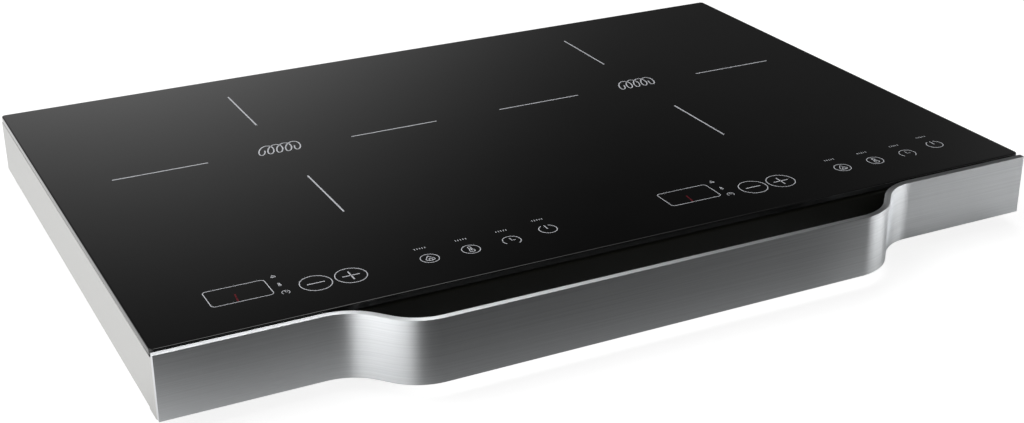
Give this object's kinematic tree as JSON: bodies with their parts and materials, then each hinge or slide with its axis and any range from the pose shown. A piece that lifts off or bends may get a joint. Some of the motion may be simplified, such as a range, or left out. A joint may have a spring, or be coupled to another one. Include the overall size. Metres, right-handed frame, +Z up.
{
  "type": "induction cooktop",
  "caption": "Low countertop induction cooktop: black glass plate with printed zones and touch keys, stainless side panels and a flat bar bent into a handle across the front.",
  "frame": {"origin": "under the middle of the whole object, on the surface that the feet stand on", "axes": "+X to the user's right, +Y to the rear, +Z up"},
  "size_m": [0.6, 0.431, 0.05],
  "materials": {
    "black_glass": "gloss",
    "silicone": "matt",
    "brushed_bar": "brushed",
    "satin_steel": "satin",
    "black_sheet": "matt",
    "galvanised_sheet": "spangled",
    "plated_steel": "bright",
    "black_rubber": "matt",
    "white_plastic": "satin",
    "brown_plastic": "satin",
    "black_plastic": "satin",
    "lamp_plastic": "gloss",
    "circuit_board": "satin",
    "copper_winding": "satin",
    "yellow_film": "gloss",
    "ferrite": "matt",
    "mica": "satin",
    "aluminium": "satin",
    "foam": "matt"
  },
  "bodies": {
    "case": {"bar_nuts": "plated_steel", "bar_studs": "plated_steel", "base_pan": "galvanised_sheet", "case_screws": "plated_steel", "cord_gland": "black_rubber", "feet": "black_rubber", "filter_board": "circuit_board", "filter_capacitor": "yellow_film", "filter_choke": "copper_winding", "filter_spacers": "white_plastic", "foot_screws": "plated_steel", "front_wall": "black_sheet", "glass_seal": "silicone", "glass_top": "black_glass", "handle_bar": "brushed_bar", "left_board_spacers": "white_plastic", "left_capacitors": "yellow_film", "left_choke": "copper_winding", "left_coil": "copper_winding", "left_coil_former": "brown_plastic", "left_control_board": "circuit_board", "left_control_bracket": "white_plastic", "left_display": "black_plastic", "left_display_shade": "foam", "left_fan_frame": "black_plastic", "left_ferrite_bars": "ferrite", "left_heat_sensor": "silicone", "left_heat_sink": "aluminium", "left_mica_sheet": "mica", "left_mode_leds": "lamp_plastic", "left_power_board": "circuit_board", "left_power_chips": "black_plastic", "left_side_panel": "satin_steel", "left_touch_pads": "foam", "rear_panel": "black_sheet", "right_board_spacers": "white_plastic", "right_capacitors": "yellow_film", "right_choke": "copper_winding", "right_coil": "copper_winding", "right_coil_former": "brown_plastic", "right_control_board": "circuit_board", "right_control_bracket": "white_plastic", "right_display": "black_plastic", "right_display_shade": "foam", "right_fan_frame": "black_plastic", "right_ferrite_bars": "ferrite", "right_heat_sensor": "silicone", "right_heat_sink": "aluminium", "right_mica_sheet": "mica", "right_mode_leds": "lamp_plastic", "right_power_board": "circuit_board", "right_power_chips": "black_plastic", "right_side_panel": "satin_steel", "right_touch_pads": "foam", "terminal_block": "white_plastic"},
    "left_fan": {"left_fan_rotor": "black_plastic"},
    "right_fan": {"right_fan_rotor": "black_plastic"}
  },
  "joints": [
    {"name": "left_fan_spin", "type": "hinge", "parent": "case", "child": "left_fan", "pos_m": [-0.16715, -0.0665, 0.016], "axis": [0, 0, 1], "continuous": true},
    {"name": "right_fan_spin", "type": "hinge", "parent": "case", "child": "right_fan", "pos_m": [0.11715, -0.0665, 0.016], "axis": [0, 0, 1], "continuous": true}
  ]
}
